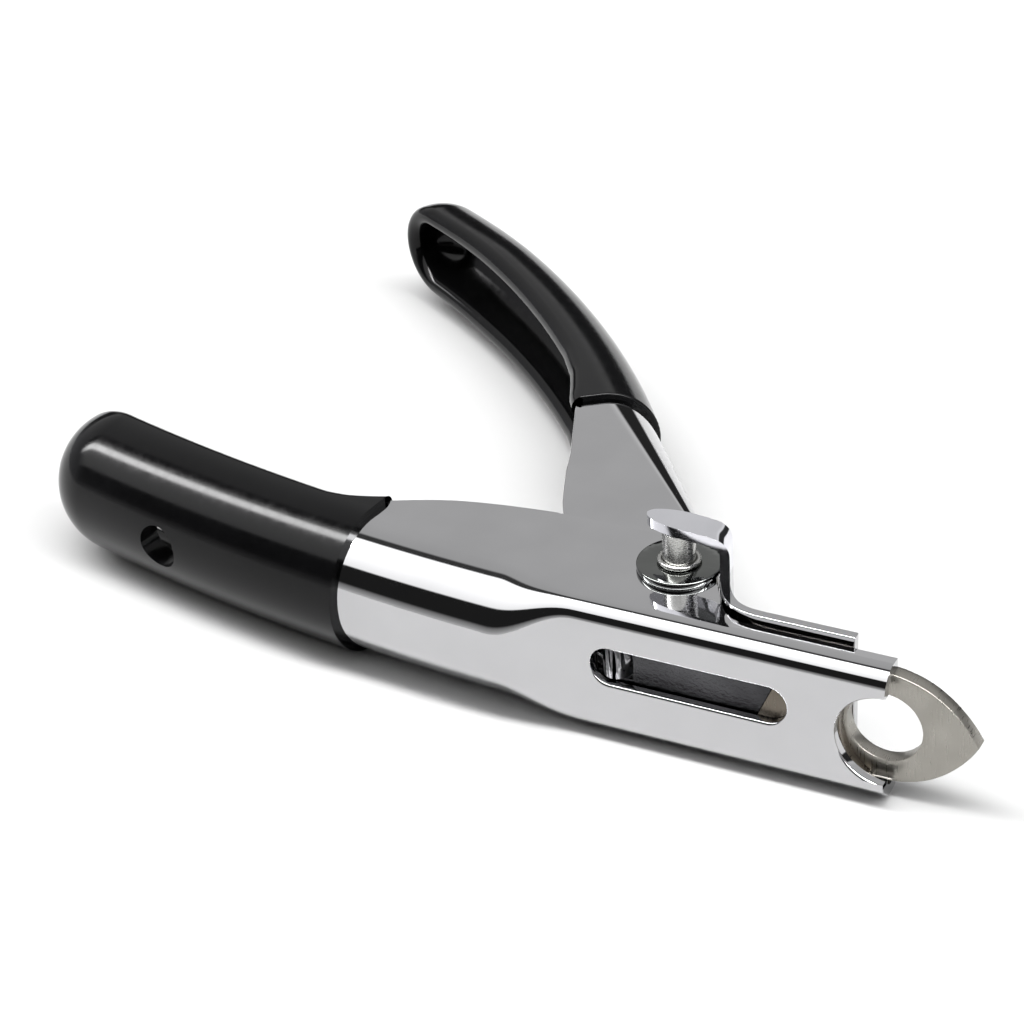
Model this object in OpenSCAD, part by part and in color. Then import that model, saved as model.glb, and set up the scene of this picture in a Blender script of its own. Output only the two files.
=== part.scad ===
// Pet nail trimmer of the ring and sliding blade kind, lying on its flat side.
// Origin: centre of the nail hole in the ring, half way through the ring plate.
// +X runs along the head towards the ring tip, +Y towards the moving handle, +Z up.
// All lengths are in millimetres.

/* [Head] */
// Height of the fixed channel over its two flanges
channel_h = 17; // [16.6:0.1:17.4]
// Thickness of the handle sheet
sheet = 1.3; // [1.2:0.05:1.35]
// Diameter of the hole the nail goes through
nail_hole_d = 8.7; // [7.5:0.1:9.2]
// Thickness of the ring plate
ring_t = 1.8; // [1.6:0.1:1.8]
// Thickness of the cutting blade
blade_t = 1.25; // [1.0:0.05:1.3]
// Diameter of the round notch in the front end of the web
notch_d = 11.4; // [10.8:0.1:11.8]
// Length of the long slot in the web
slot_l = 23.6; // [23.2:0.1:24.2]
// Height of the long slot in the web
slot_h = 4.8; // [4.6:0.1:5.4]

/* [Pivot] */
// Diameter of the pivot post
post_d = 3.8; // [3.4:0.1:4]
// Diameter of the polished disc under the thumb tab
disc_d = 9.8; // [9:0.1:10]
// Height of the top face of the thumb tab above the head centre plane
tab_top = 14.7; // [14.2:0.1:15.2]

/* [Handles] */
// Thickness of the dipped vinyl on the handles
coat = 0.8; // [0.6:0.05:0.9]
// Diameter of the finished hang hole
hang_d = 5.6; // [5:0.1:6]

/* [Hidden] */
$fn = 72;
eps = 0.02;
skin = 0.05;
blend_inset = 0.15;
big = 200;
half_h = channel_h / 2;
in_h = half_h - sheet;
web_y = -3.6;
web_in = web_y + sheet;
head_x = 0.9;
head_edge_y = 0.5;
corner_r = 2;
head_rear_x = -33;
slot_x = -22.2;

// Pivot, and the directions of the lever and of its outward face
piv = [-27.8, 8.1];
lever_dir = 125;
lever_h = 6.6;
lever_in = lever_h - sheet;
lever_web = 5.3;
lever_axis = lever_web - lever_h;
lever_len = 42;
lever_web_from = 5;
nose_r = 4.6;
sleeve_r = 2.75;
run_fit = 0.05;

// Arc of the fixed handle
fix_c = [-30.35, 282.7];
fix_r = 280;
fix_from = 254.6;
fix_to = 267;
fix_flange = 0.8;

// Arc of the moving handle
mov_r = 142;
mov_c = lever_pt(lever_len, lever_axis - mov_r);
mov_from = lever_dir - 90;
mov_to = mov_from + 24.4;
mov_cap_gap = 0.01;
mov_flange = 1.2;

// Edges of the dipped grips
fix_grip_a = 262.8;
fix_cap_gap = 0.004;
mov_grip_s = 42.3;

// Drive finger
finger_dir = 247.5;
finger_len = 11.5;
finger_w = 3.2;
finger_h = 3.8;
finger_z = 1;
finger_window_x = -31.8;

// Gate sheet
gate_t = 1.2;
gate_low = -6.6;
gate_top = 9.3;

// Ring and blade
ring_top = in_h - 0.1;
blade_h = in_h - 0.45;
ring_rear_x = -21;
stud = [-18.4, -4.2];
stud_d = 2.4;
blade_out = -ring_t / 2 - run_fit;
blade_in = blade_out - blade_t;

// Angle of the hang hole on the arc of the fixed handle
hang_a = 257.4;

// ---- helpers ----
function polar(c, r, a) = [c[0] + r * cos(a), c[1] + r * sin(a)];
function lever_pt(s, m) = [
  piv[0] + s * cos(lever_dir) + m * cos(lever_dir - 90),
  piv[1] + s * sin(lever_dir) + m * sin(lever_dir - 90)];
function unit(v) = v / norm(v);
function left_of(v) = [-v[1], v[0]];

// Smooth curve through a list of points
function curve_pt(p, i, t) =
  let (a = p[max(i - 1, 0)], b = p[i], c = p[i + 1], d = p[min(i + 2, len(p) - 1)])
  0.5 * (2 * b + (c - a) * t + (2 * a - 5 * b + 4 * c - d) * t * t
    + (3 * b - a - 3 * c + d) * t * t * t);
function curve(p, n = 4) = [
  for (i = [0 : len(p) - 2]) for (k = [0 : n - 1]) curve_pt(p, i, k / n),
  p[len(p) - 1]];

// Outline on both sides of a centre line
function side(p, w) = [
  for (i = [0 : len(p) - 1])
    let (d = unit(p[min(i + 1, len(p) - 1)] - p[max(i - 1, 0)]))
    p[i] + left_of(d) * w];
function strip(p, w) = concat(side(p, w), [for (i = [len(p) - 1 : -1 : 0]) side(p, -w)[i]]);

// ---- fixed handle outline, from the rear to the front, open side ----
fix_edge_pts = [
  [-75, 6.9], [-72, 6.75], [-69.5, 7.0], [-66.5, 7.9], [-63.5, 9.2], [-60.7, 10.4], [-58.3, 11.2], [-55.6, 11.9],
  [-52.4, 12.5], [-49, 13], [-45, 13.4], [-40, 13.5], [-34, 13.5], [-30.5, 13.4]];
ear_c = [-28.8, 8.5];
ear_r = 5;
ear_pts = [for (a = [80 : -8 : 24]) polar(ear_c, ear_r, a)];
throat_pts = [[-22.9, 7], [-21.6, 4.8], [-20.3, 2.6], [-19.2, 1.25], [-17.8, 0.62], [-16, head_edge_y]];

// ---- lever flange outline in lever coordinates (along, outward) ----
lever_edge_pts = [
  [44.4, -4.3], [40.8, -5], [36, -6.1], [30.9, -7.3], [26.5, -8.6], [21, -9.9], [18, -10.4],
  [14, -10.6], [10, -10.3], [6, -9.4], [3, -8], [0.5, -6.3], [-1.8, -4.3]];
lever_nose = [for (a = [-115 : -13 : -271]) [nose_r * cos(a), nose_r * sin(a)]];

// Half round channel section, outward side at positive x
module round_section(r_out, r_in, flange) {
  difference() {
    union() {
      circle(r_out);
      translate([-flange, -r_out]) square([flange, 2 * r_out]);
    }
    circle(r_in);
    translate([-flange - 1, -r_in]) square([flange + 1, 2 * r_in]);
    translate([-flange - big, -big / 2]) square([big, big]);
  }
}

// Channel section swept along an arc seen from above
module arc_channel(c, r, a0, a1, r_out, r_in, flange) {
  translate([c[0], c[1], 0]) rotate([0, 0, a0])
    rotate_extrude(angle = a1 - a0, $fn = 360)
      translate([r, 0]) round_section(r_out, r_in, flange);
}

// Rounded closed end of a handle; way is +1 or -1 for the sense of the arc
module round_end(c, r, a, way, r_out, r_in, flange) {
  translate([polar(c, r, a)[0], polar(c, r, a)[1], 0]) rotate([0, 0, a]) {
    rotate_extrude(angle = 90 * way) half_ring(r_out, r_in);
    rotate([0, -90, 0]) linear_extrude(flange) rotate([0, 0, 90 * way]) half_ring(r_out, r_in);
    // Ties the end to the channel inside the sheet
    rotate([90, 0, 0]) translate([0, 0, -0.5]) linear_extrude(1) half_ring(r_out - 0.3, r_in + 0.3, 0.7);
  }
}

module half_ring(r_out, r_in, from = 0) {
  difference() {
    circle(r_out);
    circle(r_in);
    translate([from - big, -big / 2]) square([big, big]);
  }
}

// Prism over a plan outline
module plan_prism(pts, z0, z1) {
  translate([0, 0, z0]) linear_extrude(z1 - z0) polygon(pts);
}

// Box section with two rounded corners, width from y0 to y1, drawn as (y, z)
module corner_section(y0, y1, h, r) {
  translate([y0 + r, h - r]) circle(r, $fn = 32);
  translate([y0 + r, r - h]) circle(r, $fn = 32);
  translate([y0 + r, -h]) square([y1 - y0 - r, 2 * h]);
  translate([y0, r - h]) square([y1 - y0, 2 * h - 2 * r]);
}

// Turn a (y, z) section to stand across the X axis
module across_x(x, l) {
  translate([x, 0, 0]) rotate([90, 0, 90]) linear_extrude(l) children();
}

// ---- fixed handle ----
// Rear part; g grows every face outwards, for the dipped coat; gap turns the end cap away from the channel
module fixed_tail(g, to = fix_to, gap = 0) {
  arc_channel(fix_c, fix_r, fix_from, to, half_h + g, in_h - g, fix_flange + g);
  round_end(fix_c, fix_r, fix_from - gap, -1, half_h + g, in_h - g, fix_flange + g);
}

fix_taper = [for (p = curve(fix_edge_pts)) if (p[0] > -74.5) p];
fix_back = [for (a = [fix_to - 0.4 : -1 : 261]) polar(fix_c, fix_r - 0.3, a)];

// Strip of flange that widens from the grip towards the ear
module fixed_taper(g, step = 0) {
  edge = side([for (p = fix_taper) if (p[0] < -60) p], g);
  back = [for (p = fix_back) if (p[0] < -60) p];
  plan_prism(concat(edge, back), -half_h - g, -in_h + g - step);
  plan_prism(concat(edge, back), in_h - g + step, half_h + g);
}

// Place the round section at the front end of the arc
module at_fix_front(x) {
  translate([polar(fix_c, fix_r, fix_to)[0], polar(fix_c, fix_r, fix_to)[1], 0])
    rotate([0, 0, fix_to - 270]) translate([x, 0, 0]) rotate([90, 0, 90]) children();
}

module lower_half(r) {
  intersection() {
    circle(r);
    translate([-big, -big / 2]) square([big, big]);
  }
}

// Joins the round channel to the square head; its ends reach into both inside the sheet
module fixed_blend() {
  difference() {
    hull() {
      across_x(head_rear_x, 0.5) corner_section(web_y + skin, 1.5, half_h - blend_inset, corner_r);
      at_fix_front(-0.2) linear_extrude(0.3) lower_half(half_h - blend_inset);
    }
    hull() {
      across_x(head_rear_x, 0.7) corner_section(web_in - skin, 2.5, in_h + skin, corner_r - sheet);
      at_fix_front(-0.7) linear_extrude(0.8) translate([1, 0]) lower_half(in_h + skin);
    }
  }
}

module fixed_flanges() {
  front = concat(fix_taper, ear_pts, curve(throat_pts), [[head_x, head_edge_y], [head_x, -0.9], [head_rear_x + 0.7, -0.9]]);
  for (z = [-half_h, in_h]) plan_prism(concat(front, fix_back), z, z + sheet);
}

module fixed_head() {
  across_x(head_rear_x, head_x - head_rear_x) difference() {
    corner_section(web_y, -0.8, half_h, corner_r);
    corner_section(web_in, 1, in_h, corner_r - sheet);
  }
}

// Obround prism through the web
module web_slot(l, h) {
  translate([slot_x, 0, finger_z]) rotate([90, 0, 0]) translate([0, 0, -1]) linear_extrude(8) {
    for (s = [-1, 1]) translate([s * (l - h) / 2, 0]) circle(h / 2);
    translate([(h - l) / 2, -h / 2]) square([l - h, h]);
  }
}

module hang_bore(d) {
  translate([polar(fix_c, fix_r, hang_a)[0], polar(fix_c, fix_r, hang_a)[1], 0])
    rotate([0, 0, hang_a]) rotate([0, 90, 0]) cylinder(h = 20, d = d);
}

module fixed_handle() {
  color([0.78, 0.78, 0.8]) difference() {
    union() {
      fixed_tail(0);
      fixed_blend();
      fixed_flanges();
      fixed_head();
    }
    web_slot(slot_l, slot_h);
    translate([head_x, -2, -0.3]) rotate([90, 0, 0]) cylinder(h = 3, d = notch_d);
    translate([piv[0], piv[1], -half_h - 1]) cylinder(h = channel_h + 2, d = post_d + 2 * run_fit);
    hang_bore(hang_d + 2 * coat);
  }
}

module fixed_grip() {
  color([0.05, 0.05, 0.05]) difference() {
    union() {
      fixed_tail(coat, fix_grip_a);
      intersection() {
        fixed_taper(coat, skin);
        translate([fix_c[0], fix_c[1], -big / 2])
          rotate([0, 0, fix_grip_a]) translate([0, -big, 0]) cube([2 * big, big, big]);
      }
    }
    fixed_tail(eps, fix_to, fix_cap_gap);
    fixed_taper(eps);
    hang_bore(hang_d);
  }
  color([0.05, 0.05, 0.05]) hang_lining();
}

// Vinyl inside the hang hole
module hang_lining() {
  intersection() {
    difference() {
      hang_bore(hang_d + 2 * coat - 2 * eps);
      hang_bore(hang_d);
    }
    arc_channel(fix_c, fix_r, hang_a - 2, hang_a + 2, half_h + coat / 2, in_h - coat / 2, 1);
  }
}

// ---- moving handle, drawn in lever coordinates ----
module on_lever() {
  translate([piv[0], piv[1], 0]) rotate([0, 0, lever_dir]) children();
}

function lever_poly(p) = [for (q = p) [q[0], -q[1]]];

module lever_blend() {
  difference() {
    hull() {
      across_x(11.5, 0.6) lever_square(lever_web - skin, lever_h - skin, corner_r);
      across_x(lever_len - 0.1, 0.6) lever_round(lever_h - skin);
    }
    hull() {
      across_x(11.3, 0.8) lever_square(lever_web - sheet + skin, lever_in + skin, corner_r - sheet);
      across_x(lever_len - 0.1, 0.8) lever_round(lever_in + skin);
    }
  }
}

// Sections of the lever as (sideways, up); outward is towards negative sideways
module lever_square(out, h, r) {
  corner_section(-out, -lever_axis, h, r);
}

module lever_round(r) {
  intersection() {
    translate([-lever_axis, 0]) circle(r);
    translate([-big - lever_axis, -big / 2]) square([big, big]);
  }
}

module lever_flanges() {
  pts = lever_poly(concat([[lever_len + 12, -2.9], [lever_len + 6, -3.1]], curve(lever_edge_pts), lever_nose,
    [[3, nose_r], [lever_web_from, lever_web - corner_r], [12, lever_web - corner_r], [lever_len, lever_axis],
    [lever_len + 12, -2.2]]));
  for (z = [-lever_h, lever_in]) plan_prism(pts, z, z + sheet);
}

module lever_channel() {
  across_x(lever_web_from, 7.05) difference() {
    lever_square(lever_web, lever_h, corner_r);
    lever_square(lever_web - sheet, lever_in, corner_r - sheet);
    translate([-lever_axis - 1, -lever_in]) square([2, 2 * lever_in]);
  }
}

module moving_rear(g, f) {
  arc_channel(mov_c, mov_r, mov_from, mov_to, lever_h + g, lever_in - g, f + g);
  round_end(mov_c, mov_r, mov_to + mov_cap_gap, 1, lever_h + g, lever_in - g, f + g);
}

// Strip of flange that widens towards the chrome part
module moving_taper(g) {
  pts = lever_poly([[56, -2.9 - g], [50.4, -3.1 - g], [44.4, -4.3 - g], [40, -5.1 - g], [40, -2.2], [56, -2.2]]);
  on_lever() for (z = [-lever_h - g, lever_in - g]) plan_prism(pts, z, z + sheet + 2 * g);
}

module moving_handle() {
  color([0.78, 0.78, 0.8]) difference() {
    union() {
      on_lever() {
        lever_blend();
        lever_flanges();
        lever_channel();
      }
      moving_rear(0, mov_flange);
    }
    translate([piv[0], piv[1], -half_h]) cylinder(h = channel_h, r = sleeve_r + run_fit);
    on_lever() rivet_places() cylinder(h = 20, r = 1.1 + eps);
  }
}

module moving_grip() {
  color([0.05, 0.05, 0.05]) difference() {
    union() {
      moving_rear(coat, mov_flange);
      moving_taper(coat);
    }
    on_lever() translate([mov_grip_s - big, -big / 2, -big / 2]) cube([big, big, big]);
    moving_rear(eps, mov_flange);
    moving_taper(eps);
  }
}

// ---- head parts ----
ring_side = [[-5, ring_top], [0.2, ring_top], [2.6, 6.75], [4.8, 5.95], [6.7, 4.75], [8.3, 3.3], [9.7, 1.6], [10.7, 0]];
ring_edge = curve(ring_side);

// Upper edge of the ring plate followed by its mirror image
module nail_ring() {
  lower = [for (i = [len(ring_edge) - 2 : -1 : 0]) [ring_edge[i][0], -ring_edge[i][1]]];
  pts = concat([[ring_rear_x, ring_top]], ring_edge, lower, [[ring_rear_x, -ring_top]]);
  color([0.7, 0.68, 0.64]) translate([0, ring_t / 2, 0]) rotate([90, 0, 0]) difference() {
    linear_extrude(ring_t) polygon(pts);
    translate([0, 0, -1]) cylinder(h = ring_t + 2, d = nail_hole_d);
    translate([stud[0], stud[1], -1]) cylinder(h = ring_t + 2, d = stud_d + 2 * run_fit);
  }
}

module locating_stud() {
  color([0.6, 0.6, 0.6]) translate([stud[0], ring_t / 2, stud[1]]) rotate([90, 0, 0])
    cylinder(h = ring_t / 2 - web_in, d = stud_d);
}

// Stack of plates in the plane of the blade, drawn as (x, z)
module at_blade() {
  translate([0, blade_out, 0]) rotate([90, 0, 0]) children();
}

// Slanted line where the blade meets the slide
function joint_x(z) = -13.6 + 0.45 * z;
hook = [-13.4, 4.6];

// Round hook by which the slide pulls the blade
module blade_hook(g) {
  translate([hook[0], hook[1], 0]) cylinder(h = blade_t, r = 1.1 + g);
  translate([hook[0], hook[1] - 0.6 - g, 0]) cube([3, 1.2 + 2 * g, blade_t]);
}

module cutting_blade() {
  edge_r = 7.5;
  edge_x = -4.7;
  tip_x = -1.5;
  color([0.6, 0.58, 0.55]) at_blade() {
    difference() {
      linear_extrude(blade_t)
        polygon([[joint_x(-blade_h), -blade_h], [tip_x, -blade_h], [tip_x, blade_h], [joint_x(blade_h), blade_h]]);
      translate([edge_x + edge_r, 0, -1]) cylinder(h = blade_t + 2, r = edge_r);
    }
    blade_hook(0);
  }
}

module blade_slide() {
  tail_h = 5;
  stroke = 8.2;
  slot_r = stud_d / 2 + 0.2;
  gap = 0.05;
  trough_r = 10;
  trough_d = 0.7;
  color([0.78, 0.78, 0.8]) at_blade() difference() {
    union() {
      linear_extrude(blade_t) polygon([[-32, -blade_h], [joint_x(-blade_h) - gap, -blade_h],
        [joint_x(blade_h) - gap, blade_h], [-32, blade_h]]);
      translate([-36.5, -tail_h, 0]) cube([5, 2 * tail_h, blade_t]);
    }
    blade_hook(gap);
    translate([finger_window_x - 2.3, finger_z - finger_h / 2 - 0.2, -1]) cube([4.6, finger_h + 0.4, blade_t + 2]);
    for (x = [stud[0], stud[0] - stroke]) translate([x, stud[1], -1]) cylinder(h = blade_t + 2, r = slot_r);
    translate([stud[0] - stroke, stud[1] - slot_r, -1]) cube([stroke, 2 * slot_r, blade_t + 2]);
    // Shallow pressed trough along the outer face
    translate([-40, finger_z, blade_t - trough_d + trough_r]) rotate([0, 90, 0]) cylinder(h = 32, r = trough_r);
  }
}

// ---- gate: thumb tab, strap and cover plate bent from one strip ----
gate_line = curve([[-22.5, 9.6], [-22.1, 7.8], [-21.3, 5.8], [-20.2, 3.9], [-18.8, 2.5], [-17, 1.8], [-15, 1.65]]);
strap_line = [for (p = gate_line) if (p[1] > 5.7) p];
bend_r = 2;

module retaining_gate() {
  color([0.8, 0.8, 0.82]) {
    plan_prism(strip(concat(gate_line, [[-4.2, 1.65]]), gate_t / 2), gate_low, gate_top);
    plan_prism(strip(strap_line, gate_t / 2), gate_top - 1, tab_top - bend_r);
    gate_bend();
    gate_tab();
  }
}

module gate_bend() {
  intersection() {
    translate([-21.4 - bend_r, 4, tab_top - bend_r]) rotate([-90, 0, 0]) difference() {
      cylinder(h = 8, r = bend_r);
      translate([0, 0, -1]) cylinder(h = 10, r = bend_r - gate_t);
    }
    translate([-21.4 - bend_r, 5.7, tab_top - bend_r]) cube([bend_r, 4, bend_r]);
  }
}

module gate_tab() {
  tab_pts = concat([[-23.3, 5.9]], curve([[-25.6, 6], [-28, 6.3], [-30.2, 6.9], [-31.5, 7.7], [-31.8, 8.5],
    [-31.3, 9.3], [-29.8, 9.9], [-27.8, 10.15], [-25.6, 10]]), [[-23.3, 9.7]]);
  plan_prism(tab_pts, tab_top - gate_t, tab_top);
}

// ---- pivot stack ----
module at_pivot(z) {
  translate([piv[0], piv[1], z]) children();
}

module pivot_post() {
  foot_z = -half_h - 0.8;
  color([0.55, 0.55, 0.55]) at_pivot(foot_z)
    cylinder(h = tab_top - gate_t - foot_z - eps, d = post_d);
}

module washer(z, h, r_out, r_in) {
  at_pivot(z) difference() {
    cylinder(h = h, r = r_out);
    translate([0, 0, -1]) cylinder(h = h + 2, r = r_in);
  }
}

module pivot_disc() {
  color([0.35, 0.35, 0.37]) washer(half_h, 0.8, disc_d / 2, post_d / 2 + run_fit);
}

module post_collar() {
  color([0.6, 0.6, 0.6]) washer(half_h + 0.8, 0.6, post_d / 2 + 0.6, post_d / 2 + eps);
}

module post_foot() {
  color([0.6, 0.6, 0.6]) washer(-half_h - 0.8, 0.75, 3.6, post_d / 2 + eps);
}

module upper_shim() {
  color([0.85, 0.85, 0.8]) washer(lever_h + eps, in_h - lever_h - 2 * eps, 4.3, sleeve_r + run_fit);
}

module lower_shim() {
  color([0.85, 0.85, 0.8]) washer(-in_h + eps, in_h - lever_h - 2 * eps, 4.3, sleeve_r + run_fit);
}

module pivot_sleeve() {
  color([0.65, 0.6, 0.45]) washer(-in_h + eps, 2 * in_h - 2 * eps, sleeve_r, post_d / 2 + run_fit);
}

module spring_spacer() {
  color([0.85, 0.85, 0.8]) washer(-lever_in + eps, lever_in + finger_z - finger_h / 2 - 2 * eps, 4.2, sleeve_r + run_fit);
}

coil_r = 3.6;
coil_z = 3.32;
coil_pitch = 0.78;
wire_r = 0.4;
module return_spring() {
  color([0.5, 0.5, 0.5]) {
    at_pivot(coil_z) rotate_extrude() for (i = [0 : 2])
      translate([coil_r, coil_pitch * i]) circle(wire_r);
    on_lever() spring_leg([1.8, -3.1], 2 * coil_pitch, 0, 9);
    at_pivot(0) rotate([0, 0, 190]) spring_leg([0, coil_r], 0, 20, 6);
  }
}

module spring_leg(start, z, turn, l) {
  translate([start[0], start[1], coil_z + z]) rotate([0, 0, turn]) rotate([0, 90, 0]) cylinder(h = l, r = 0.9 * wire_r);
}

// ---- drive finger and its rivets ----
module rivet_places() {
  for (s = [9, 13]) translate([s, 0, finger_z]) rotate([90, 0, 0]) children();
}

module drive_finger() {
  finger_low = finger_z - finger_h / 2;
  color([0.45, 0.45, 0.47]) {
    difference() {
      union() {
        at_pivot(finger_low) cylinder(h = finger_h, r = 4.3);
        at_pivot(finger_low) rotate([0, 0, finger_dir]) {
          translate([0, -finger_w / 2, 0]) cube([finger_len - finger_w / 2, finger_w, finger_h]);
          translate([finger_len - finger_w / 2, 0, 0]) cylinder(h = finger_h, d = finger_w);
        }
        on_lever() translate([0, -3.95, finger_low]) cube([15, 3.2, finger_h]);
      }
      at_pivot(-5) cylinder(h = 10, r = sleeve_r + run_fit);
      on_lever() rivet_places() cylinder(h = 20, r = 1.1 + eps);
    }
  }
}

module finger_rivets() {
  color([0.6, 0.6, 0.6]) on_lever() rivet_places() {
    translate([0, 0, 1.2]) cylinder(h = lever_web - 1.2, r = 1.1);
    translate([0, 0, lever_web]) cylinder(h = 0.6, r = 1.9);
  }
}

fixed_handle();
fixed_grip();
moving_handle();
moving_grip();
nail_ring();
cutting_blade();
blade_slide();
locating_stud();
retaining_gate();
pivot_post();
pivot_disc();
post_collar();
post_foot();
upper_shim();
lower_shim();
pivot_sleeve();
return_spring();
spring_spacer();
drive_finger();
finger_rivets();
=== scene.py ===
import math
import bpy
import bmesh
from mathutils import Vector, Matrix


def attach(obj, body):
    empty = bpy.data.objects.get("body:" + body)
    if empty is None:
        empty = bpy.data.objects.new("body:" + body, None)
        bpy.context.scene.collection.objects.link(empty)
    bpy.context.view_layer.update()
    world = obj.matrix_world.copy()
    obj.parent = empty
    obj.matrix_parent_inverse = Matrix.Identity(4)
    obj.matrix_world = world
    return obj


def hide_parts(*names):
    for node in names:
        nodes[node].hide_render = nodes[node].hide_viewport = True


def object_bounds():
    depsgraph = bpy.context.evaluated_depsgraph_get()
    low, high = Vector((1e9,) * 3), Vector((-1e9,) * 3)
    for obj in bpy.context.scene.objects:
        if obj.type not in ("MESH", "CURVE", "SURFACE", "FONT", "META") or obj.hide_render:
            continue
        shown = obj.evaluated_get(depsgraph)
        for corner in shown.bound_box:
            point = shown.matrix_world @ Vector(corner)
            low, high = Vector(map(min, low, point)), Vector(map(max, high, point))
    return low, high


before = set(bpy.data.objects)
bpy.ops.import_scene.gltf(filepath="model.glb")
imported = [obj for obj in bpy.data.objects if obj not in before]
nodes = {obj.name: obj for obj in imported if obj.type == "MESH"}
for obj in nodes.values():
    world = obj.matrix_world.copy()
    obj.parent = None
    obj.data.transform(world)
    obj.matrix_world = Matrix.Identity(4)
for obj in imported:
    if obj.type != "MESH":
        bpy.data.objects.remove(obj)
cad_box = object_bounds()
MM = 0.001

# ---------------------------------------------------------------- camera
AZ, EL, ROLL = math.radians(28.06), math.radians(31.96), math.radians(3.44)
CAMERA_AT = (0.08761, -0.24765, 0.19173)
look = Vector((-math.sin(AZ) * math.cos(EL), math.cos(AZ) * math.cos(EL), -math.sin(EL)))
right = look.cross(Vector((0, 0, 1))).normalized()
up = right.cross(look)
cam_x = math.cos(ROLL) * right - math.sin(ROLL) * up
cam_y = math.sin(ROLL) * right + math.cos(ROLL) * up
cam_data = bpy.data.cameras.new("camera")
cam_data.sensor_width = 36
cam_data.lens = 104.53
cam_data.clip_start = 0.01
cam = bpy.data.objects.new("camera", cam_data)
bpy.context.scene.collection.objects.link(cam)
rows = [(cam_x[i], cam_y[i], -look[i], CAMERA_AT[i]) for i in range(3)]
cam.matrix_world = Matrix(rows + [(0, 0, 0, 1)])
bpy.context.scene.camera = cam
bpy.context.scene.view_settings.view_transform = "Standard"

# ---------------------------------------------------------------- materials
NOISE_FROM, NOISE_TO = 0.3, 0.7  # the stretch of a noise's values that the looks are spread over


class Nodes:
    """Node tree of one material, with a Principled shader."""

    def __init__(self, mat):
        mat.use_nodes = True
        self.t = mat.node_tree
        self.t.nodes.clear()
        self.out = self.t.nodes.new("ShaderNodeOutputMaterial")
        self.bsdf = self.t.nodes.new("ShaderNodeBsdfPrincipled")
        self.link(self.bsdf, "BSDF", self.out, "Surface")
        self.co = self.t.nodes.new("ShaderNodeTexCoord")

    def link(self, a, ao, b, bi):
        self.t.links.new(a.outputs[ao], b.inputs[bi])

    def new(self, kind, **values):
        n = self.t.nodes.new(kind)
        for k, v in values.items():
            n.inputs[k].default_value = v
        return n

    def noise(self, scale, detail=3.0, rough=0.55):
        m = self.new("ShaderNodeMapping", Scale=scale)
        self.link(self.co, "Object", m, "Vector")
        n = self.new("ShaderNodeTexNoise", Scale=1.0, Detail=detail, Roughness=rough)
        self.link(m, "Vector", n, "Vector")
        return n

    def roughness(self, src, lo, hi):
        r = self.new("ShaderNodeMapRange")
        for k, v in (("From Min", NOISE_FROM), ("From Max", NOISE_TO), ("To Min", lo), ("To Max", hi)):
            r.inputs[k].default_value = v
        self.link(src, "Fac", r, "Value")
        self.link(r, "Result", self.bsdf, "Roughness")

    def two_tone(self, src, c0, c1):
        r = self.new("ShaderNodeValToRGB")
        for el, at_value, colour in zip(r.color_ramp.elements, (NOISE_FROM, NOISE_TO), (c0, c1)):
            el.position = at_value
            el.color = (*colour, 1)
        self.link(src, "Fac", r, "Fac")
        self.link(r, "Color", self.bsdf, "Base Color")

    def bump(self, src, strength, dist, after=None):
        b = self.new("ShaderNodeBump", Strength=strength, Distance=dist)
        self.link(src, "Fac", b, "Height")
        if after is not None:
            self.link(after, "Normal", b, "Normal")
        self.link(b, "Normal", self.bsdf, "Normal")
        return b


def metal(name, c0, c1, rough0, rough1, grain, bump, bump_mm, ripple=None):
    """Metal between two colours; ripple is a second, wide bump: (scale, strength, millimetres)."""
    m = bpy.data.materials.new(name)
    n = Nodes(m)
    n.bsdf.inputs["Metallic"].default_value = 1.0
    n.two_tone(n.noise((120, 120, 120), 2.0), c0, c1)
    fine = n.noise(grain, 4.0, 0.6)
    n.roughness(fine, rough0, rough1)
    b = n.bump(fine, bump, bump_mm * MM)
    if ripple:
        wide = n.noise(ripple[0], 2.0)
        n.bump(wide, ripple[1], ripple[2] * MM, b)
    return m


CHROME = metal("chrome", (0.5, 0.5, 0.508), (0.53, 0.53, 0.538), 0.025, 0.06,
               (1500, 1500, 1500), 0.03, 0.004, ((260, 260, 260), 0.12, 0.006))
TAB = metal("tab_chrome", (0.74, 0.74, 0.78), (0.79, 0.79, 0.83), 0.04, 0.09,
            (1500, 1500, 1500), 0.03, 0.004)
# blade slide seen through the slot: the rough, unpolished chrome and its bump are real; its near-black base
# colour is painted shade of the channel's dark inside
ROUGH_CHROME_PAINTED_SHADE = metal("rough_chrome_painted_recess_shade", (0.03, 0.03, 0.032), (0.09, 0.09, 0.095), 0.1, 0.2,
                   (2600, 2600, 2600), 0.8, 0.09)
RING = metal("brushed_ring", (0.25, 0.24, 0.215), (0.36, 0.345, 0.315), 0.24, 0.4,
             (5200, 500, 240), 0.45, 0.02)
BLADE = metal("blade_steel", (0.12, 0.105, 0.085), (0.24, 0.21, 0.175), 0.22, 0.4,
              (4200, 600, 500), 0.3, 0.012)
SATIN = metal("satin_steel", (0.4, 0.4, 0.39), (0.52, 0.52, 0.5), 0.2, 0.34,
              (1800, 1800, 5000), 0.2, 0.01)
# pivot disc: the polish and low roughness are real; its very dark base colour is a painted dark reflection of
# the tab's underside and surroundings that the mirror shows
POLISHED_PAINTED_DARK_REFLECTION = metal("polished_steel", (0.13, 0.135, 0.13), (0.17, 0.175, 0.17), 0.03, 0.08,
               (1200, 1200, 1200), 0.04, 0.004)
PLAIN = metal("plain_steel", (0.26, 0.26, 0.27), (0.36, 0.36, 0.37), 0.25, 0.42,
              (2200, 2200, 2200), 0.3, 0.015)
BRASS = metal("turned_brass", (0.5, 0.37, 0.17), (0.62, 0.47, 0.24), 0.2, 0.34,
              (600, 600, 6000), 0.25, 0.01)


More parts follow.
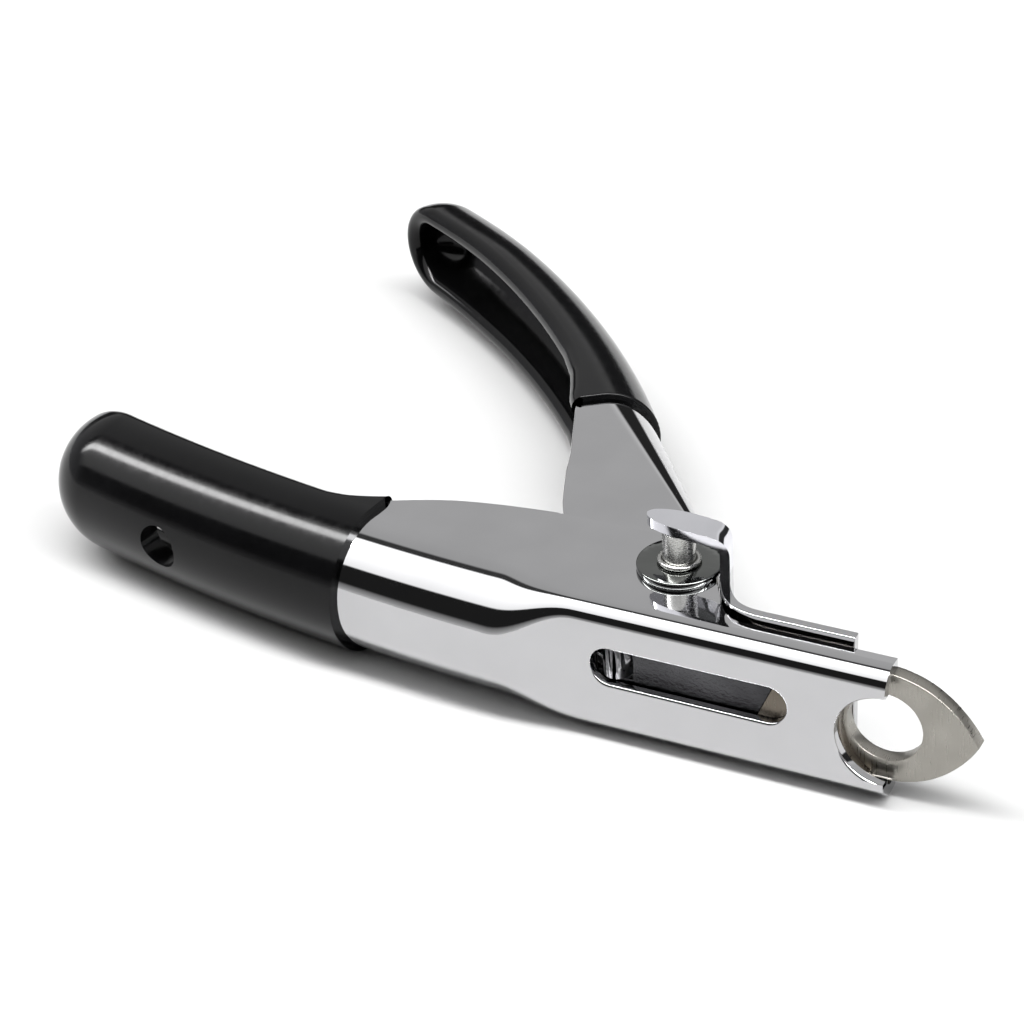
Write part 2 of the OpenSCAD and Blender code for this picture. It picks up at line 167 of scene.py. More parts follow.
def make_vinyl():
    m = bpy.data.materials.new("dipped_vinyl")
    n = Nodes(m)
    n.bsdf.inputs["Specular IOR Level"].default_value = 0.24
    n.bsdf.inputs["IOR"].default_value = 1.45
    n.two_tone(n.noise((70, 70, 70), 3.0), (0.0012, 0.0012, 0.0013), (0.002, 0.002, 0.0022))
    fine = n.noise((900, 900, 900), 3.0)
    n.roughness(fine, 0.1, 0.17)
    b = n.bump(fine, 0.04, 0.006 * MM)
    n.bump(n.noise((95, 95, 95), 2.0), 0.16, 0.05 * MM, b)
    return m


def make_nylon():
    m = bpy.data.materials.new("nylon")
    n = Nodes(m)
    n.two_tone(n.noise((400, 400, 400)), (0.66, 0.65, 0.6), (0.76, 0.75, 0.7))
    n.bsdf.inputs["Roughness"].default_value = 0.45
    n.bump(n.noise((1500, 1500, 1500)), 0.15, 0.01 * MM)
    return m


VINYL = make_vinyl()
NYLON = make_nylon()

# ---------------------------------------------------------------- world, floor, light
# (degrees from the near horizon, over the top, down to the far horizon; grey level of the light there)
BANDS = [(0, 0.8), (4, 0.5), (9, 0.3), (13, 0.02), (42, 0.02), (44, 1.6), (62, 2.0), (74, 2.6), (75.5, 3.0),
         (78, 30), (86, 30), (88, 3.0), (90, 2.4), (92.5, 2.0), (94, 0.06), (101, 0.06), (104, 0.58),
         (125, 0.63), (150, 0.64), (156, 0.85), (159, 0.03), (177, 0.03), (180, 0.9)]
BAND_GAIN = 40  # a colour ramp holds 0 to 1, so the levels are divided by this and scaled up again
END_FROM, END_TO = 0.82, 0.93  # share of a direction along X where the bands give way to even grey
END_GREY = (0.5, 0.5, 0.52, 1)
FLOOR_GAP = 0.00002


def make_world():
    """Long soft boxes that run along X, as bands of light round that axis."""
    world = bpy.data.worlds.new("studio")
    bpy.context.scene.world = world
    world.use_nodes = True
    t = world.node_tree
    t.nodes.clear()

    def new(kind, operation=None):
        n = t.nodes.new(kind)
        if operation:
            n.operation = operation
        return n

    co, sep = new("ShaderNodeTexCoord"), new("ShaderNodeSeparateXYZ")
    t.links.new(co.outputs["Generated"], sep.inputs[0])
    near = new("ShaderNodeMath", "MULTIPLY")
    near.inputs[1].default_value = -1
    t.links.new(sep.outputs["Y"], near.inputs[0])
    angle = new("ShaderNodeMath", "ARCTAN2")
    t.links.new(sep.outputs["Z"], angle.inputs[0])
    t.links.new(near.outputs[0], angle.inputs[1])
    share = new("ShaderNodeMapRange")
    share.inputs["From Min"].default_value = 0
    share.inputs["From Max"].default_value = math.pi
    t.links.new(angle.outputs[0], share.inputs["Value"])
    ramp = new("ShaderNodeValToRGB")
    e = ramp.color_ramp.elements
    while len(e) > 1:
        e.remove(e[-1])
    for k, (deg, level) in enumerate(BANDS):
        el = e[0] if k == 0 else e.new(deg / 180)
        el.position = deg / 180
        el.color = (level / BAND_GAIN, level / BAND_GAIN, level / BAND_GAIN, 1)
    t.links.new(share.outputs["Result"], ramp.inputs["Fac"])
    gain = new("ShaderNodeVectorMath", "SCALE")
    gain.inputs["Scale"].default_value = BAND_GAIN
    t.links.new(ramp.outputs["Color"], gain.inputs[0])
    along = new("ShaderNodeMath", "ABSOLUTE")
    t.links.new(sep.outputs["X"], along.inputs[0])
    end = new("ShaderNodeMapRange")
    end.inputs["From Min"].default_value = END_FROM
    end.inputs["From Max"].default_value = END_TO
    t.links.new(along.outputs[0], end.inputs["Value"])
    mix = new("ShaderNodeMixRGB")
    t.links.new(end.outputs["Result"], mix.inputs["Fac"])
    t.links.new(gain.outputs[0], mix.inputs["Color1"])
    mix.inputs["Color2"].default_value = END_GREY
    bg, out = new("ShaderNodeBackground"), new("ShaderNodeOutputWorld")
    t.links.new(mix.outputs["Color"], bg.inputs["Color"])
    t.links.new(bg.outputs[0], out.inputs["Surface"])


def make_floor():
    """A plain floor. Its colour is a mid grey, which the strong light brings up to near white."""
    bpy.ops.mesh.primitive_plane_add(size=8, location=(0, 0, cad_box[0][2] - FLOOR_GAP))
    floor = bpy.context.object
    floor.name = "floor"
    m = bpy.data.materials.new("floor_white")
    n = Nodes(m)
    n.two_tone(n.noise((3, 3, 3)), (0.33, 0.33, 0.33), (0.34, 0.34, 0.34))
    n.bsdf.inputs["Roughness"].default_value = 0.8
    n.bsdf.inputs["Specular IOR Level"].default_value = 0.1
    floor.data.materials.append(m)


def make_lamp():
    """A weak overhead lamp that reflections don't show."""
    lamp = bpy.data.lights.new("overhead", "AREA")
    lamp.size = 0.8
    lamp.energy = 0.6
    o = bpy.data.objects.new("overhead", lamp)
    o.location = (-0.05, -0.1, 0.9)
    o.visible_glossy = False
    bpy.context.scene.collection.objects.link(o)


make_world()
make_floor()
make_lamp()


# ---------------------------------------------------------------- mesh helpers
class Skin:
    """Collects faces in millimetres and welds them into one mesh."""

    def __init__(self):
        self.v, self.f = [], []

    def face(self, *pts):
        n = len(self.v)
        self.v += [tuple(p) for p in pts]
        self.f.append(tuple(range(n, n + len(pts))))

    def grid(self, g, skip=lambda i, j: False):
        for i in range(len(g) - 1):
            for j in range(len(g[i]) - 1):
                if not skip(i, j):
                    self.face(g[i][j], g[i + 1][j], g[i + 1][j + 1], g[i][j + 1])

    def band(self, a, b):
        for k in range(len(a) - 1):
            self.face(a[k], a[k + 1], b[k + 1], b[k])

    def make(self, name, mat, bevel=None):
        me = bpy.data.meshes.new(name)
        me.from_pydata([tuple(c * MM for c in p) for p in self.v], [], self.f)
        bm = bmesh.new()
        bm.from_mesh(me)
        bmesh.ops.remove_doubles(bm, verts=bm.verts, dist=0.003 * MM)
        bmesh.ops.dissolve_degenerate(bm, edges=bm.edges, dist=0.002 * MM)
        bmesh.ops.recalc_face_normals(bm, faces=bm.faces)
        bm.to_mesh(me)
        bm.free()
        me.polygons.foreach_set("use_smooth", [True] * len(me.polygons))
        o = bpy.data.objects.new(name, me)
        bpy.context.scene.collection.objects.link(o)
        me.materials.append(mat)
        if bevel:
            round_edges(o, bevel)
        return o


def round_edges(o, width, angle=50, segments=3):
    b = o.modifiers.new("edge", "BEVEL")
    b.width = width * MM
    b.segments = segments
    b.limit_method = "ANGLE"
    b.angle_limit = math.radians(angle)
    b.harden_normals = True
    b.use_clamp_overlap = True


def smooth01(t):
    t = min(max(t, 0.0), 1.0)
    return t * t * (3 - 2 * t)


def lerp(a, b, t):
    return tuple(x + (y - x) * t for x, y in zip(a, b))


def spline(p, n=8):
    """Points of a Catmull-Rom curve through p, n to a stretch."""
    out = []
    for i in range(len(p) - 1):
        a, b, c, d = p[max(i - 1, 0)], p[i], p[i + 1], p[min(i + 2, len(p) - 1)]
        for k in range(n):
            t = k / n
            out.append(tuple(
                0.5 * (2 * b[m] + (c[m] - a[m]) * t + (2 * a[m] - 5 * b[m] + 4 * c[m] - d[m]) * t * t
                       + (3 * b[m] - a[m] - 3 * c[m] + d[m]) * t ** 3) for m in range(len(b))))
    out.append(tuple(p[-1]))
    return out


def at(table, x):
    """Value of a sorted (x, y) table at x."""
    if x <= table[0][0]:
        return table[0][1]
    for (x0, y0), (x1, y1) in zip(table, table[1:]):
        if x <= x1:
            return y0 + (y1 - y0) * (x - x0) / max(x1 - x0, 1e-9)
    return table[-1][1]


def span(a, b, n):
    return [a + (b - a) * k / n for k in range(n + 1)]


# ---------------------------------------------------------------- channel sections
SHEET, COAT = 1.3, 0.8       # thickness of the metal and of the vinyl on each side of it
EDGE_BEVEL = 0.28            # rounding of the sheet's cut edges
NF, NC, NW = 8, 16, 18       # steps down a flange, round a corner and across the web


def section(h, r, depth, t, nf=NF, nc=NC, nw=NW):
    """(depth, height) points of a folded channel of half height h, t millimetres inside its outer face."""
    ri = r - t
    pts = [(d, h - t) for d in span(depth, r, nf)][:-1]
    pts += [(r - ri * math.sin(a), h - r + ri * math.cos(a)) for a in span(0, math.pi / 2, nc)]
    pts += [(t, z) for z in span(h - r, r - h, nw)][1:-1]
    pts += [(r - ri * math.sin(a), r - h - ri * math.cos(a)) for a in span(math.pi / 2, 0, nc)]
    pts += [(d, t - h) for d in span(r, depth, nf)][1:]
    return pts


def place(p, n, pts):
    return [(p[0] + n[0] * d, p[1] + n[1] * d, z) for d, z in pts]


# ---------------------------------------------------------------- fixed handle
HALF = 8.5                            # half height of the channel
WEB_Y = -3.6                          # outer face of the web along the head
WEB_BEND = (-46.45, -36.0)            # X where the round rear part ends and where the head is straight
BEND_Y, BEND_SLOPE = -5.35, -0.0559   # outer face of the web where the rear part ends
FIX_C, FIX_R = (-30.35, 282.7), 280.0  # centre of the rear part's bend, radius to the channel's axis
REAR_FROM, REAR_TO = 254.9, 266.8     # degrees round that centre
FIX_FLANGE = 0.8                      # flange past the half round at the rear
REAR_R, HEAD_R = HALF - 0.12, 2.7     # corner radius at the rear and at the head
REAR_LEAN = 0.0558                    # lean of the flanges where the rear part ends
SLOT_BLOCK = (-37.25, -7.25)          # stretch of the web that is meshed round the slot
NOTCH_BLOCK_X = -6.5                  # where the mesh round the notch starts
HEAD_END = 0.9
EAR_FROM_X = -75                      # behind this the flange has an even depth
EDGE_LINE = spline([
    (EAR_FROM_X, 6.9), (-72, 6.75), (-69.5, 7.0), (-66.5, 7.9), (-63.5, 9.2), (-60.7, 10.4), (-58.3, 11.2),
    (-55.6, 11.9), (-52.4, 12.5), (-49, 13), (-45, 13.4), (-40, 13.5), (-34, 13.5), (-30.5, 13.4),
    (-27.9, 13.4), (-26.2, 12.75), (-24.9, 11.6), (-24.1, 10.2), (-23.6, 8.8), (-22.9, 7), (-21.6, 4.8),
    (-20.3, 2.6), (-19.2, 1.25), (-17.8, 0.62), (-16, 0.5), (-8, 0.5), (1, 0.5)], 6)
COIN_X, COIN_Y, COIN_SLOPE = -19.5, -1.05, 0.075  # where the stamped edge starts, and its fall


def fixed_web(x):
    """Y of the outer face of the web ahead of the round rear part."""
    x0, x1 = WEB_BEND
    if x >= x1:
        return WEB_Y
    t, w = (x - x0) / (x1 - x0), x1 - x0
    return (BEND_Y * (2 * t ** 3 - 3 * t * t + 1) + BEND_SLOPE * w * (t ** 3 - 2 * t * t + t)
            + WEB_Y * (3 * t * t - 2 * t ** 3))


def rear_station(deg, coat=0.0):
    """(web point, inward direction, depth) of the round rear part, coat millimetres outside the metal."""
    a = math.radians(deg)
    r = FIX_R + HALF + coat
    p = (FIX_C[0] + r * math.cos(a), FIX_C[1] + r * math.sin(a))
    n = (-math.cos(a), -math.sin(a))
    full = HALF + coat + FIX_FLANGE
    depth = full
    for _ in range(3):
        x = p[0] + n[0] * depth
        depth = (at(EDGE_LINE, x) - p[1]) / n[1] if x > EAR_FROM_X else full
    return p, n, depth


def fixed_stations():
    """(web point, inward direction, corner radius, depth) from the rear to the front."""
    out = []
    for deg in span(REAR_FROM, REAR_TO, 40):
        p, n, depth = rear_station(deg)
        out.append((p, n, REAR_R, depth))
    xs = span(-46, SLOT_BLOCK[0], 14)
    xs += span(SLOT_BLOCK[0] + 0.5, SLOT_BLOCK[1], 59)
    xs += span(NOTCH_BLOCK_X, HEAD_END, 14)
    for x in xs:
        n = (REAR_LEAN * (1 - smooth01((x - WEB_BEND[0]) / 9)), 1.0)
        y = fixed_web(x)
        r = HEAD_R + (REAR_R - HEAD_R) * (1 - smooth01((x + 46.2) / 10.6)) ** 1.15
        out.append(((x, y), n, r, at(EDGE_LINE, x) - y))
    return out


def coin(pts):
    """The stamped edge along the head slopes down a little."""
    out = []
    for px, py, pz in pts:
        over = max(py - COIN_Y, 0)
        drop = over * COIN_SLOPE * smooth01((px - COIN_X) / 1.2) * min(over / 0.12, 1.0)
        out.append((px, py, pz - drop if pz > 0 else pz + drop))
    return out


def fixed_channel():
    st = fixed_stations()
    outer = [coin(place(p, n, section(HALF, r, d, 0))) for p, n, r, d in st]
    inner = [coin(place(p, n, section(HALF, r, d, SHEET))) for p, n, r, d in st]
    j0, j1 = NF + NC, NF + NC + NW
    xs = [s[0][0] for s in st]

    def nearest(x):
        return min(range(len(xs)), key=lambda i: abs(xs[i] - x))

    ia, ib, ic = nearest(SLOT_BLOCK[0]), nearest(SLOT_BLOCK[1]), nearest(NOTCH_BLOCK_X)
    last = len(st) - 1

    def hole(i, j):
        return j0 <= j < j1 and (ia <= i < ib or i >= ic)

    s = Skin()
    s.grid(outer, hole)
    s.grid(inner, hole)

    def loop(g, a, b, closed=True):
        """Points of grid g round the web between stations a and b."""
        top = [g[i][j0] for i in range(b, a - 1, -1)]
        left = [g[a][j] for j in range(j0 + 1, j1 + 1)]
        low = [g[i][j1] for i in range(a + 1, b + 1)]
        back = [g[b][j] for j in range(j1 - 1, j0 - 1, -1)] if closed else []
        return top + left + low + back

    # dished slot: an oval in the web's face rolls in to a narrower oval hole
    face_z, face_r, face_from, face_to = 0.6, 4.8, -31.2, -13.2
    hole_z, hole_r, hole_from, hole_to = 1.0, 2.4, -31.6, -12.8
    dish = 0.45

    def slot_rings(edge, y_at):
        rings = [edge]
        steps = [("flat", q) for q in (0.34, 0.67, 1.0)]
        steps += [("roll", a) for a in span(0, math.pi / 2, 12)[1:]]
        for kind, v in steps:
            ring = []
            for b in edge:
                c = min(max(b[0], face_from), face_to)
                f = (c - face_from) / (face_to - face_from)
                u = Vector((b[0] - c, b[2] - face_z)).normalized()
                q = 1.0 if kind == "flat" else 1 - math.sin(v)
                cx = (hole_from + (hole_to - hole_from) * f) * (1 - q) + c * q
                cz = hole_z * (1 - q) + face_z * q
                r = hole_r + (face_r - hole_r) * q
                point = (cx + r * u.x, y_at(0 if kind == "flat" else v), cz + r * u.y)
                ring.append(lerp(b, point, v) if kind == "flat" else point)
            rings.append(ring)
        return rings

    out_rings = slot_rings(loop(outer, ia, ib), lambda a: WEB_Y + dish * (1 - math.cos(a)))
    in_rings = slot_rings(loop(inner, ia, ib), lambda a: WEB_Y + SHEET)
    s.grid(out_rings)
    s.grid(in_rings)
    s.band(out_rings[-1], in_rings[-1])

    # round notch at the front
    notch_x, notch_z, notch_r, roll = 0.9, -0.3, 5.7, 0.4

    def notch_rings(edge, rolled):
        y0 = edge[0][1]
        ways = [Vector((b[0] - notch_x, b[2] - notch_z)).normalized() for b in edge]

        def circle(r, y):
            return [(notch_x + r * u.x, y, notch_z + r * u.y) for u in ways]

        rim = circle(notch_r + roll, y0)
        rings = [edge] + [[lerp(b, c, q) for b, c in zip(edge, rim)] for q in (0.4, 0.8, 1.0)]
        for a in span(0, math.pi / 2, 6)[1:]:
            rings.append(circle(notch_r + roll * (1 - math.sin(a)),
                                y0 + (roll * (1 - math.cos(a)) if rolled else 0)))
        return rings

    no = notch_rings(loop(outer, ic, last, False), True)
    ni = notch_rings(loop(inner, ic, last, False), False)
    s.grid(no)
    s.grid(ni)
    s.band(no[-1], ni[-1])
    for k in (0, -1):
        s.band([r[k] for r in no], [r[k] for r in ni])

    # free edges and ends
    s.band([g[0] for g in outer], [g[0] for g in inner])
    s.band([g[-1] for g in outer], [g[-1] for g in inner])
    s.band(outer[0], inner[0])
    s.band(outer[last][:j0 + 1], inner[last][:j0 + 1])
    s.band(outer[last][j1:], inner[last][j1:])
    return s.make("fixed_channel", CHROME, EDGE_BEVEL)


# ---------------------------------------------------------------- moving handle
PIV = (-27.8, 8.1)
LDIR = math.radians(125)   # direction of the lever's straight part
LH = 6.6                   # half height of the lever's channel
LWEB = 5.3                 # outer face of its web, from the pivot
LAX = LWEB - LH
LLEN = 42.0                # from the pivot to the start of the bend
MR = 142.0                 # radius of the bend to the channel's axis
LEVER_TURN = 24.2          # degrees of bend in the metal
EAR_R, LEVER_R = 2.0, LH - 0.1   # corner radius at the ears and at the rear
EAR_LINE = [(3, -8), (0.5, -6.3), (-1.8, -4.3)]
LEVER_EDGE = sorted(spline([(44.4, -4.3), (40.8, -5), (36, -6.1), (30.9, -7.3), (26.5, -8.6), (21, -9.9),
                            (18, -10.4), (14, -10.6), (10, -10.3), (6, -9.4)] + EAR_LINE))


def lever_pt(s, m, z):
    """World point from s along the lever, m across it towards the web, and z."""
    return (PIV[0] + s * math.cos(LDIR) + m * math.cos(LDIR - math.pi / 2),
            PIV[1] + s * math.sin(LDIR) + m * math.sin(LDIR - math.pi / 2), z)


def lever_frame(u):
    """(point, inward direction) of the web line in lever coordinates, u along it."""
    if u <= LLEN:
        return (u, LWEB), (0.0, -1.0)
    t = (u - LLEN) / MR
    return ((LLEN + (MR + LH) * math.sin(t), LAX - MR + (MR + LH) * math.cos(t)),
            (-math.sin(t), -math.cos(t)))


def moving_channel():
    us = span(5.2, LLEN, 46) + span(LLEN, LLEN + MR * math.radians(LEVER_TURN), 44)[1:]
    depths = [(0, 12.2)] + [(s, LWEB - m) for s, m in LEVER_EDGE if 0 < s < 44]
    depths += [(44.4, 9.6), (50.4, 8.3), (56, 7.8), (200, 7.8)]
    outer, inner = [], []
    for u in us:
        p, n = lever_frame(u)
        r = EAR_R + (LEVER_R - EAR_R) * min(max((u - 12) / (LLEN - 12), 0), 1)
        for g, t in ((outer, 0), (inner, SHEET)):
            g.append([lever_pt(p[0] + n[0] * d, p[1] + n[1] * d, z)
                      for d, z in section(LH, r, at(depths, u), t, 6, 16, 10)])
    s = Skin()
    s.grid(outer)
    s.grid(inner)
    s.band([g[0] for g in outer], [g[0] for g in inner])
    s.band([g[-1] for g in outer], [g[-1] for g in inner])
    s.band(outer[0], inner[0])
    s.band(outer[-1], inner[-1])
    # the two flat ears round the pivot
    ear = [(5.25, -9.15)] + EAR_LINE
    ear += [(4.6 * math.cos(a), 4.6 * math.sin(a)) for a in span(math.radians(-118), math.radians(-271), 24)]
    ear += [(3, 4.4), (5.25, 3.4)]
    for z0, z1 in ((LH, LH - SHEET), (SHEET - LH, -LH)):
        a = [lever_pt(q[0], q[1], z0) for q in ear]
        b = [lever_pt(q[0], q[1], z1) for q in ear]
        s.face(*a)
        s.face(*reversed(b))
        s.band(a + [a[0]], b + [b[0]])
    return s.make("moving_channel", CHROME, EDGE_BEVEL)


# ---------------------------------------------------------------- dipped grips
FIX_MOUTH, FIX_END = 262.75, 254.6   # degrees round FIX_C
LEVER_MOUTH, LEVER_END = 42.4, 24.4  # along the lever, and degrees of its bend
LEVER_FLANGE = 1.2
HANG = math.radians(257.4)           # place of the hang hole round FIX_C
HANG_R, HANG_METAL_R = 2.8, 3.6
DRILL_TRIES = 20


def round_section(r, flange, t, nf=6, na=48):
    """(depth, height) points of a half round with straight flanges, t millimetres inside its outer face."""
    ri = r - t
    pts = [(d, ri) for d in span(r + flange, r, nf)][:-1]
    pts += [(r - ri * math.sin(a), ri * math.cos(a)) for a in span(0, math.pi, na)]
    pts += [(d, -ri) for d in span(r, r + flange, nf)][1:]
    return pts


def grip(name, stations, radius, flange, cap, to_world):
    """Shell round a channel with a ball end.

    stations: (web point, inward direction, extra depth, height scale) from the mouth to the closed end
    cap: (centre, outward direction, direction along the grip)
    """
    thick = SHEET + 2 * COAT
    rho = thick / 2
    c, o, along = cap
    end_scale = stations[-1][3]
    grids = []
    for t in (0, thick):
        g = [[to_world((p[0] + n[0] * d, p[1] + n[1] * d), z * scale)
              for d, z in round_section(radius, flange + extra - rho, t)] for p, n, extra, scale in stations]
        ri = radius - t

        def arc(base, v):
            return [to_world((base[0] + v[0] * ri * math.sin(a), base[1] + v[1] * ri * math.sin(a)),
                             ri * end_scale * math.cos(a)) for a in span(0, math.pi, 48)]

        end = [arc(c, (math.cos(th) * o[0] + math.sin(th) * along[0],
                       math.cos(th) * o[1] + math.sin(th) * along[1])) for th in span(0, math.pi / 2, 20)]
        end += [arc((c[0] - o[0] * w, c[1] - o[1] * w), along)
                for w in span(0, max(flange - rho, 0.05), 6)[1:]]
        grids.append((g, end))
    s = Skin()
    for g, end in grids:
        s.grid(g)
        s.grid(end)
    (g0, e0), (g1, e1) = grids

    def rim(a, b, ways):
        """Half-round rim between two lines of points."""
        rows = []
        for q in span(0, math.pi, 10):
            row = []
            for u, w, d in zip(a, b, ways):
                mid = [(x + y) / 2 for x, y in zip(u, w)]
                row.append(tuple(m + (x - m) * math.cos(q) + e * rho * math.sin(q)
                                 for m, x, e in zip(mid, u, d)))
            rows.append(row)
        s.grid(rows)

    def turned(n):
        zero, one = to_world((0, 0), 0), to_world((n[0], n[1]), 0)
        return tuple(y - x for x, y in zip(zero, one))

    s.band(g0[0], g1[0])
    for side in (0, -1):
        rim([r[side] for r in g0], [r[side] for r in g1], [turned(st[1]) for st in stations])
    rim(e0[-1], e1[-1], [turned((-o[0], -o[1]))] * len(e0[-1]))
    return s.make(name, VINYL)


def fixed_grip():
    st = []
    for deg in span(FIX_MOUTH, FIX_END, 60):
        p, n, depth = rear_station(deg, COAT)
        st.append((p, n, max(depth - HALF - COAT - FIX_FLANGE, 0), 1.0))
    a = math.radians(FIX_END)
    cap = ((FIX_C[0] + FIX_R * math.cos(a), FIX_C[1] + FIX_R * math.sin(a)),
           (math.cos(a), math.sin(a)), (math.sin(a), -math.cos(a)))
    return grip("fixed_vinyl", st, HALF + COAT, FIX_FLANGE + COAT, cap, lambda q, z: (q[0], q[1], z))


def moving_grip():
    st = []
    extra = [(42, 1.9), (44.4, 1.8), (50.4, 0.5), (56, 0.0), (200, 0.0)]
    for u in span(LEVER_MOUTH, LLEN + MR * math.radians(LEVER_END), 60):
        p, n = lever_frame(u)
        scale = 1.0 - 0.1 * smooth01((u - 85) / 22)
        st.append(((p[0] - n[0] * COAT, p[1] - n[1] * COAT), n, at(extra, u), scale))
    t = math.radians(LEVER_END)
    cap = ((LLEN + MR * math.sin(t), LAX - MR + MR * math.cos(t)),
           (math.sin(t), math.cos(t)), (math.cos(t), -math.sin(t)))
    return grip("moving_vinyl", st, LH + COAT, LEVER_FLANGE + COAT, cap, lambda q, z: lever_pt(q[0], q[1], z))


def reach(o):
    """Greatest distance of a mesh's points from the centre of the rear bend."""
    return max(math.hypot(v.co.x / MM - FIX_C[0], v.co.y / MM - FIX_C[1]) for v in o.data.vertices)


def drill(o, radius):
    """Cuts the hang hole through a grip or the channel under it.

    Now and then the exact solver keeps the cutter's ends, so each cut is checked and a spoilt one is made again.
    """
    r = FIX_R + HALF
    limit = reach(o) + 0.01
    name, uncut = o.data.name, o.data.copy()
    for _ in range(DRILL_TRIES):
        bpy.ops.mesh.primitive_cylinder_add(
            vertices=64, radius=radius * MM, depth=12 * MM,
            location=((FIX_C[0] + r * math.cos(HANG)) * MM, (FIX_C[1] + r * math.sin(HANG)) * MM, 0))
        cutter = bpy.context.object
        cutter.rotation_mode = "QUATERNION"
        cutter.rotation_quaternion = Vector((math.cos(HANG), math.sin(HANG), 0)).to_track_quat("Z", "Y")
        bpy.context.view_layer.update()
        bo = o.modifiers.new("hole", "BOOLEAN")
        bo.operation = "DIFFERENCE"
        bo.solver = "EXACT"
        bo.object = cutter
        with bpy.context.temp_override(object=o, active_object=o, selected_objects=[o]):
            bpy.ops.object.modifier_move_to_index(modifier="hole", index=0)
            bpy.ops.object.modifier_apply(modifier="hole")
        bpy.data.objects.remove(cutter)
        if reach(o) <= limit:
            bpy.data.meshes.remove(uncut)
            return
        spoilt = o.data
        o.data = uncut.copy()
        bpy.data.meshes.remove(spoilt)
        o.data.name = name
    raise RuntimeError("the hang hole was not cut cleanly")


# ---------------------------------------------------------------- gate
GATE_T = 0.6                      # half thickness of the gate's sheet
PLATE_Z = (-6.6, 9.3)             # lower and upper end of the cover plate
STRAP_Z, TAB_TOP = 8.6, 14.7      # foot of the strap and top of the tab
TAB_BEND = 2.0                    # radius of the fold between them
TAB_Y = (5.9, 9.6)                # sides of the strap
TAB_TIP = -31.8
TAB_SLOPE, TAB_LEVEL_Y = 0.045, 8.0   # fall of the tab across it, and where it is level with its top
GATE_BACK = [(-22.5, 9.6), (-22.1, 7.8), (-21.3, 5.8)]


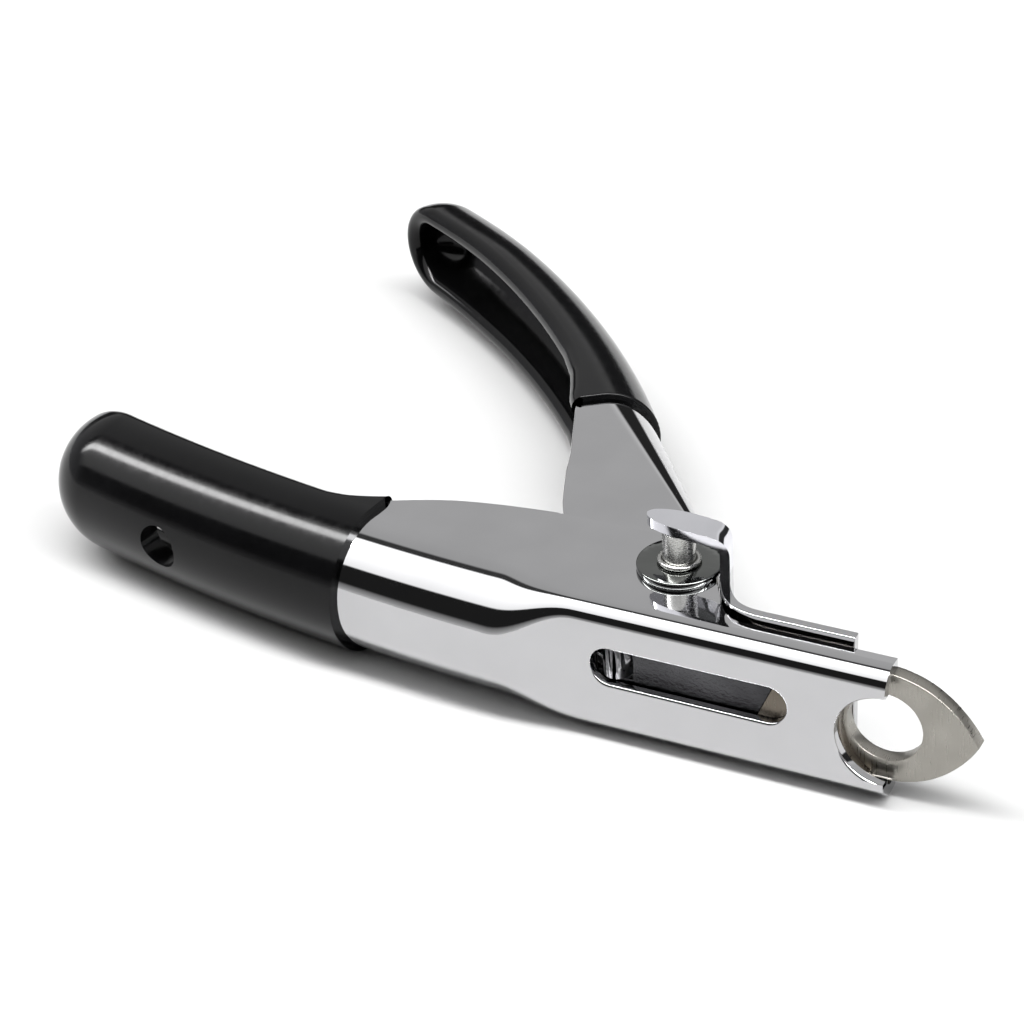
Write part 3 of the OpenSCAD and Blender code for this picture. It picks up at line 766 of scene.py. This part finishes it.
def gate():
    line = spline(GATE_BACK + [(-20.2, 3.9), (-18.8, 2.5), (-17, 1.8), (-15, 1.65)], 8)
    line += [(x, 1.65) for x in span(-14.5, -4.2, 10)]
    s = Skin()

    def offset(w):
        out = []
        for i, p in enumerate(line):
            a, b = line[max(i - 1, 0)], line[min(i + 1, len(line) - 1)]
            d = Vector((b[0] - a[0], b[1] - a[1])).normalized()
            out.append((p[0] - d.y * w, p[1] + d.x * w))
        return out

    a, b = offset(GATE_T), offset(-GATE_T)
    lo, hi = PLATE_Z
    for side in (a, b):
        s.band([(x, y, lo) for x, y in side], [(x, y, hi) for x, y in side])
    for z in (lo, hi):
        s.band([(x, y, z) for x, y in a], [(x, y, z) for x, y in b])
    for k in (0, -1):
        s.face((*a[k], lo), (*a[k], hi), (*b[k], hi), (*b[k], lo))

    # strap, fold and tab as one leaf
    back = sorted((y, x) for x, y in spline(GATE_BACK, 8))
    tip = (TAB_TIP, 8.5)
    low_edge = sorted(spline([(-23.3, 5.9), (-25.6, 6), (-28, 6.3), (-30.2, 6.9), (-31.4, 7.7), tip], 6))
    high_edge = sorted(spline([(-23.3, 9.65), (-25.6, 10), (-27.8, 10.15), (-29.8, 9.9), (-31.3, 9.3), tip], 6))
    across = span(*TAB_Y, 12)
    grids = []
    for inset in (0.0, 2 * GATE_T):
        fold_z = TAB_TOP - TAB_BEND
        g = [[(at(back, y) + GATE_T - inset, y, z) for y in across] for z in span(STRAP_Z, fold_z, 6)]
        r = TAB_BEND - inset
        for q in span(0, math.pi / 2, 10)[1:]:
            g.append([(at(back, y) + GATE_T - TAB_BEND + r * math.cos(q), y, fold_z + r * math.sin(q))
                      for y in across])
        for q in span(0, math.pi / 2, 22)[1:]:
            row = []
            for k, strap_y in enumerate(across):
                x0 = at(back, strap_y) + GATE_T - TAB_BEND
                x = x0 + (TAB_TIP - x0) * math.sin(q)
                y0, y1 = at(low_edge, x), at(high_edge, x)
                y = y0 + (y1 - y0) * k / 12
                row.append((x, y, TAB_TOP - inset + TAB_SLOPE * (TAB_LEVEL_Y - y)))
            g.append(row)
        grids.append(g)
    g0, g1 = grids
    s2 = Skin()
    s2.grid(g0)
    s2.grid(g1)
    s2.band(g0[0], g1[0])
    s2.band([r[0] for r in g0], [r[0] for r in g1])
    s2.band([r[-1] for r in g0], [r[-1] for r in g1])
    s2.band(g0[-1], g1[-1])
    return s.make("gate_plate", CHROME, 0.22), s2.make("gate_leaf", TAB, 0.26)


# ---------------------------------------------------------------- build
ch = fixed_channel()
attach(ch, "frame")
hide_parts("fixed_handle")

lv = moving_channel()
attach(lv, "lever")
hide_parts("moving_handle")

GRIP_BEVEL, GRIP_SEGMENTS = 0.3, 5
fg = fixed_grip()
drill(fg, HANG_R)
drill(ch, HANG_METAL_R)
round_edges(fg, GRIP_BEVEL, segments=GRIP_SEGMENTS)
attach(fg, "frame")
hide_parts("fixed_grip")

mg = moving_grip()
round_edges(mg, GRIP_BEVEL, segments=GRIP_SEGMENTS)
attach(mg, "lever")
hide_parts("moving_grip")

plate, leaf = gate()
for o in (plate, leaf):
    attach(o, "gate")
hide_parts("retaining_gate")

# kept CAD nodes: (material, bevel in millimetres)
looks = {
    "nail_ring": (RING, 0.12), "cutting_blade": (BLADE, 0.06), "blade_slide": (ROUGH_CHROME_PAINTED_SHADE, 0.08),
    "locating_stud": (PLAIN, 0.1), "pivot_post": (SATIN, 0.25), "pivot_disc": (POLISHED_PAINTED_DARK_REFLECTION, 0.2),
    "post_collar": (SATIN, 0.25), "post_foot": (SATIN, 0.2), "upper_shim": (NYLON, 0.08),
    "lower_shim": (NYLON, 0.08), "pivot_sleeve": (BRASS, 0.08), "return_spring": (PLAIN, 0),
    "spring_spacer": (NYLON, 0.12), "drive_finger": (PLAIN, 0.15), "finger_rivets": (SATIN, 0.2)}
for name, (mat, bevel) in looks.items():
    o = nodes[name]
    o.data.materials.clear()
    o.data.materials.append(mat)
    o.data.polygons.foreach_set("use_smooth", [True] * len(o.data.polygons))
    w = o.modifiers.new("weld", "WELD")
    w.merge_threshold = 0.001 * MM
    if bevel:
        round_edges(o, bevel, 40)
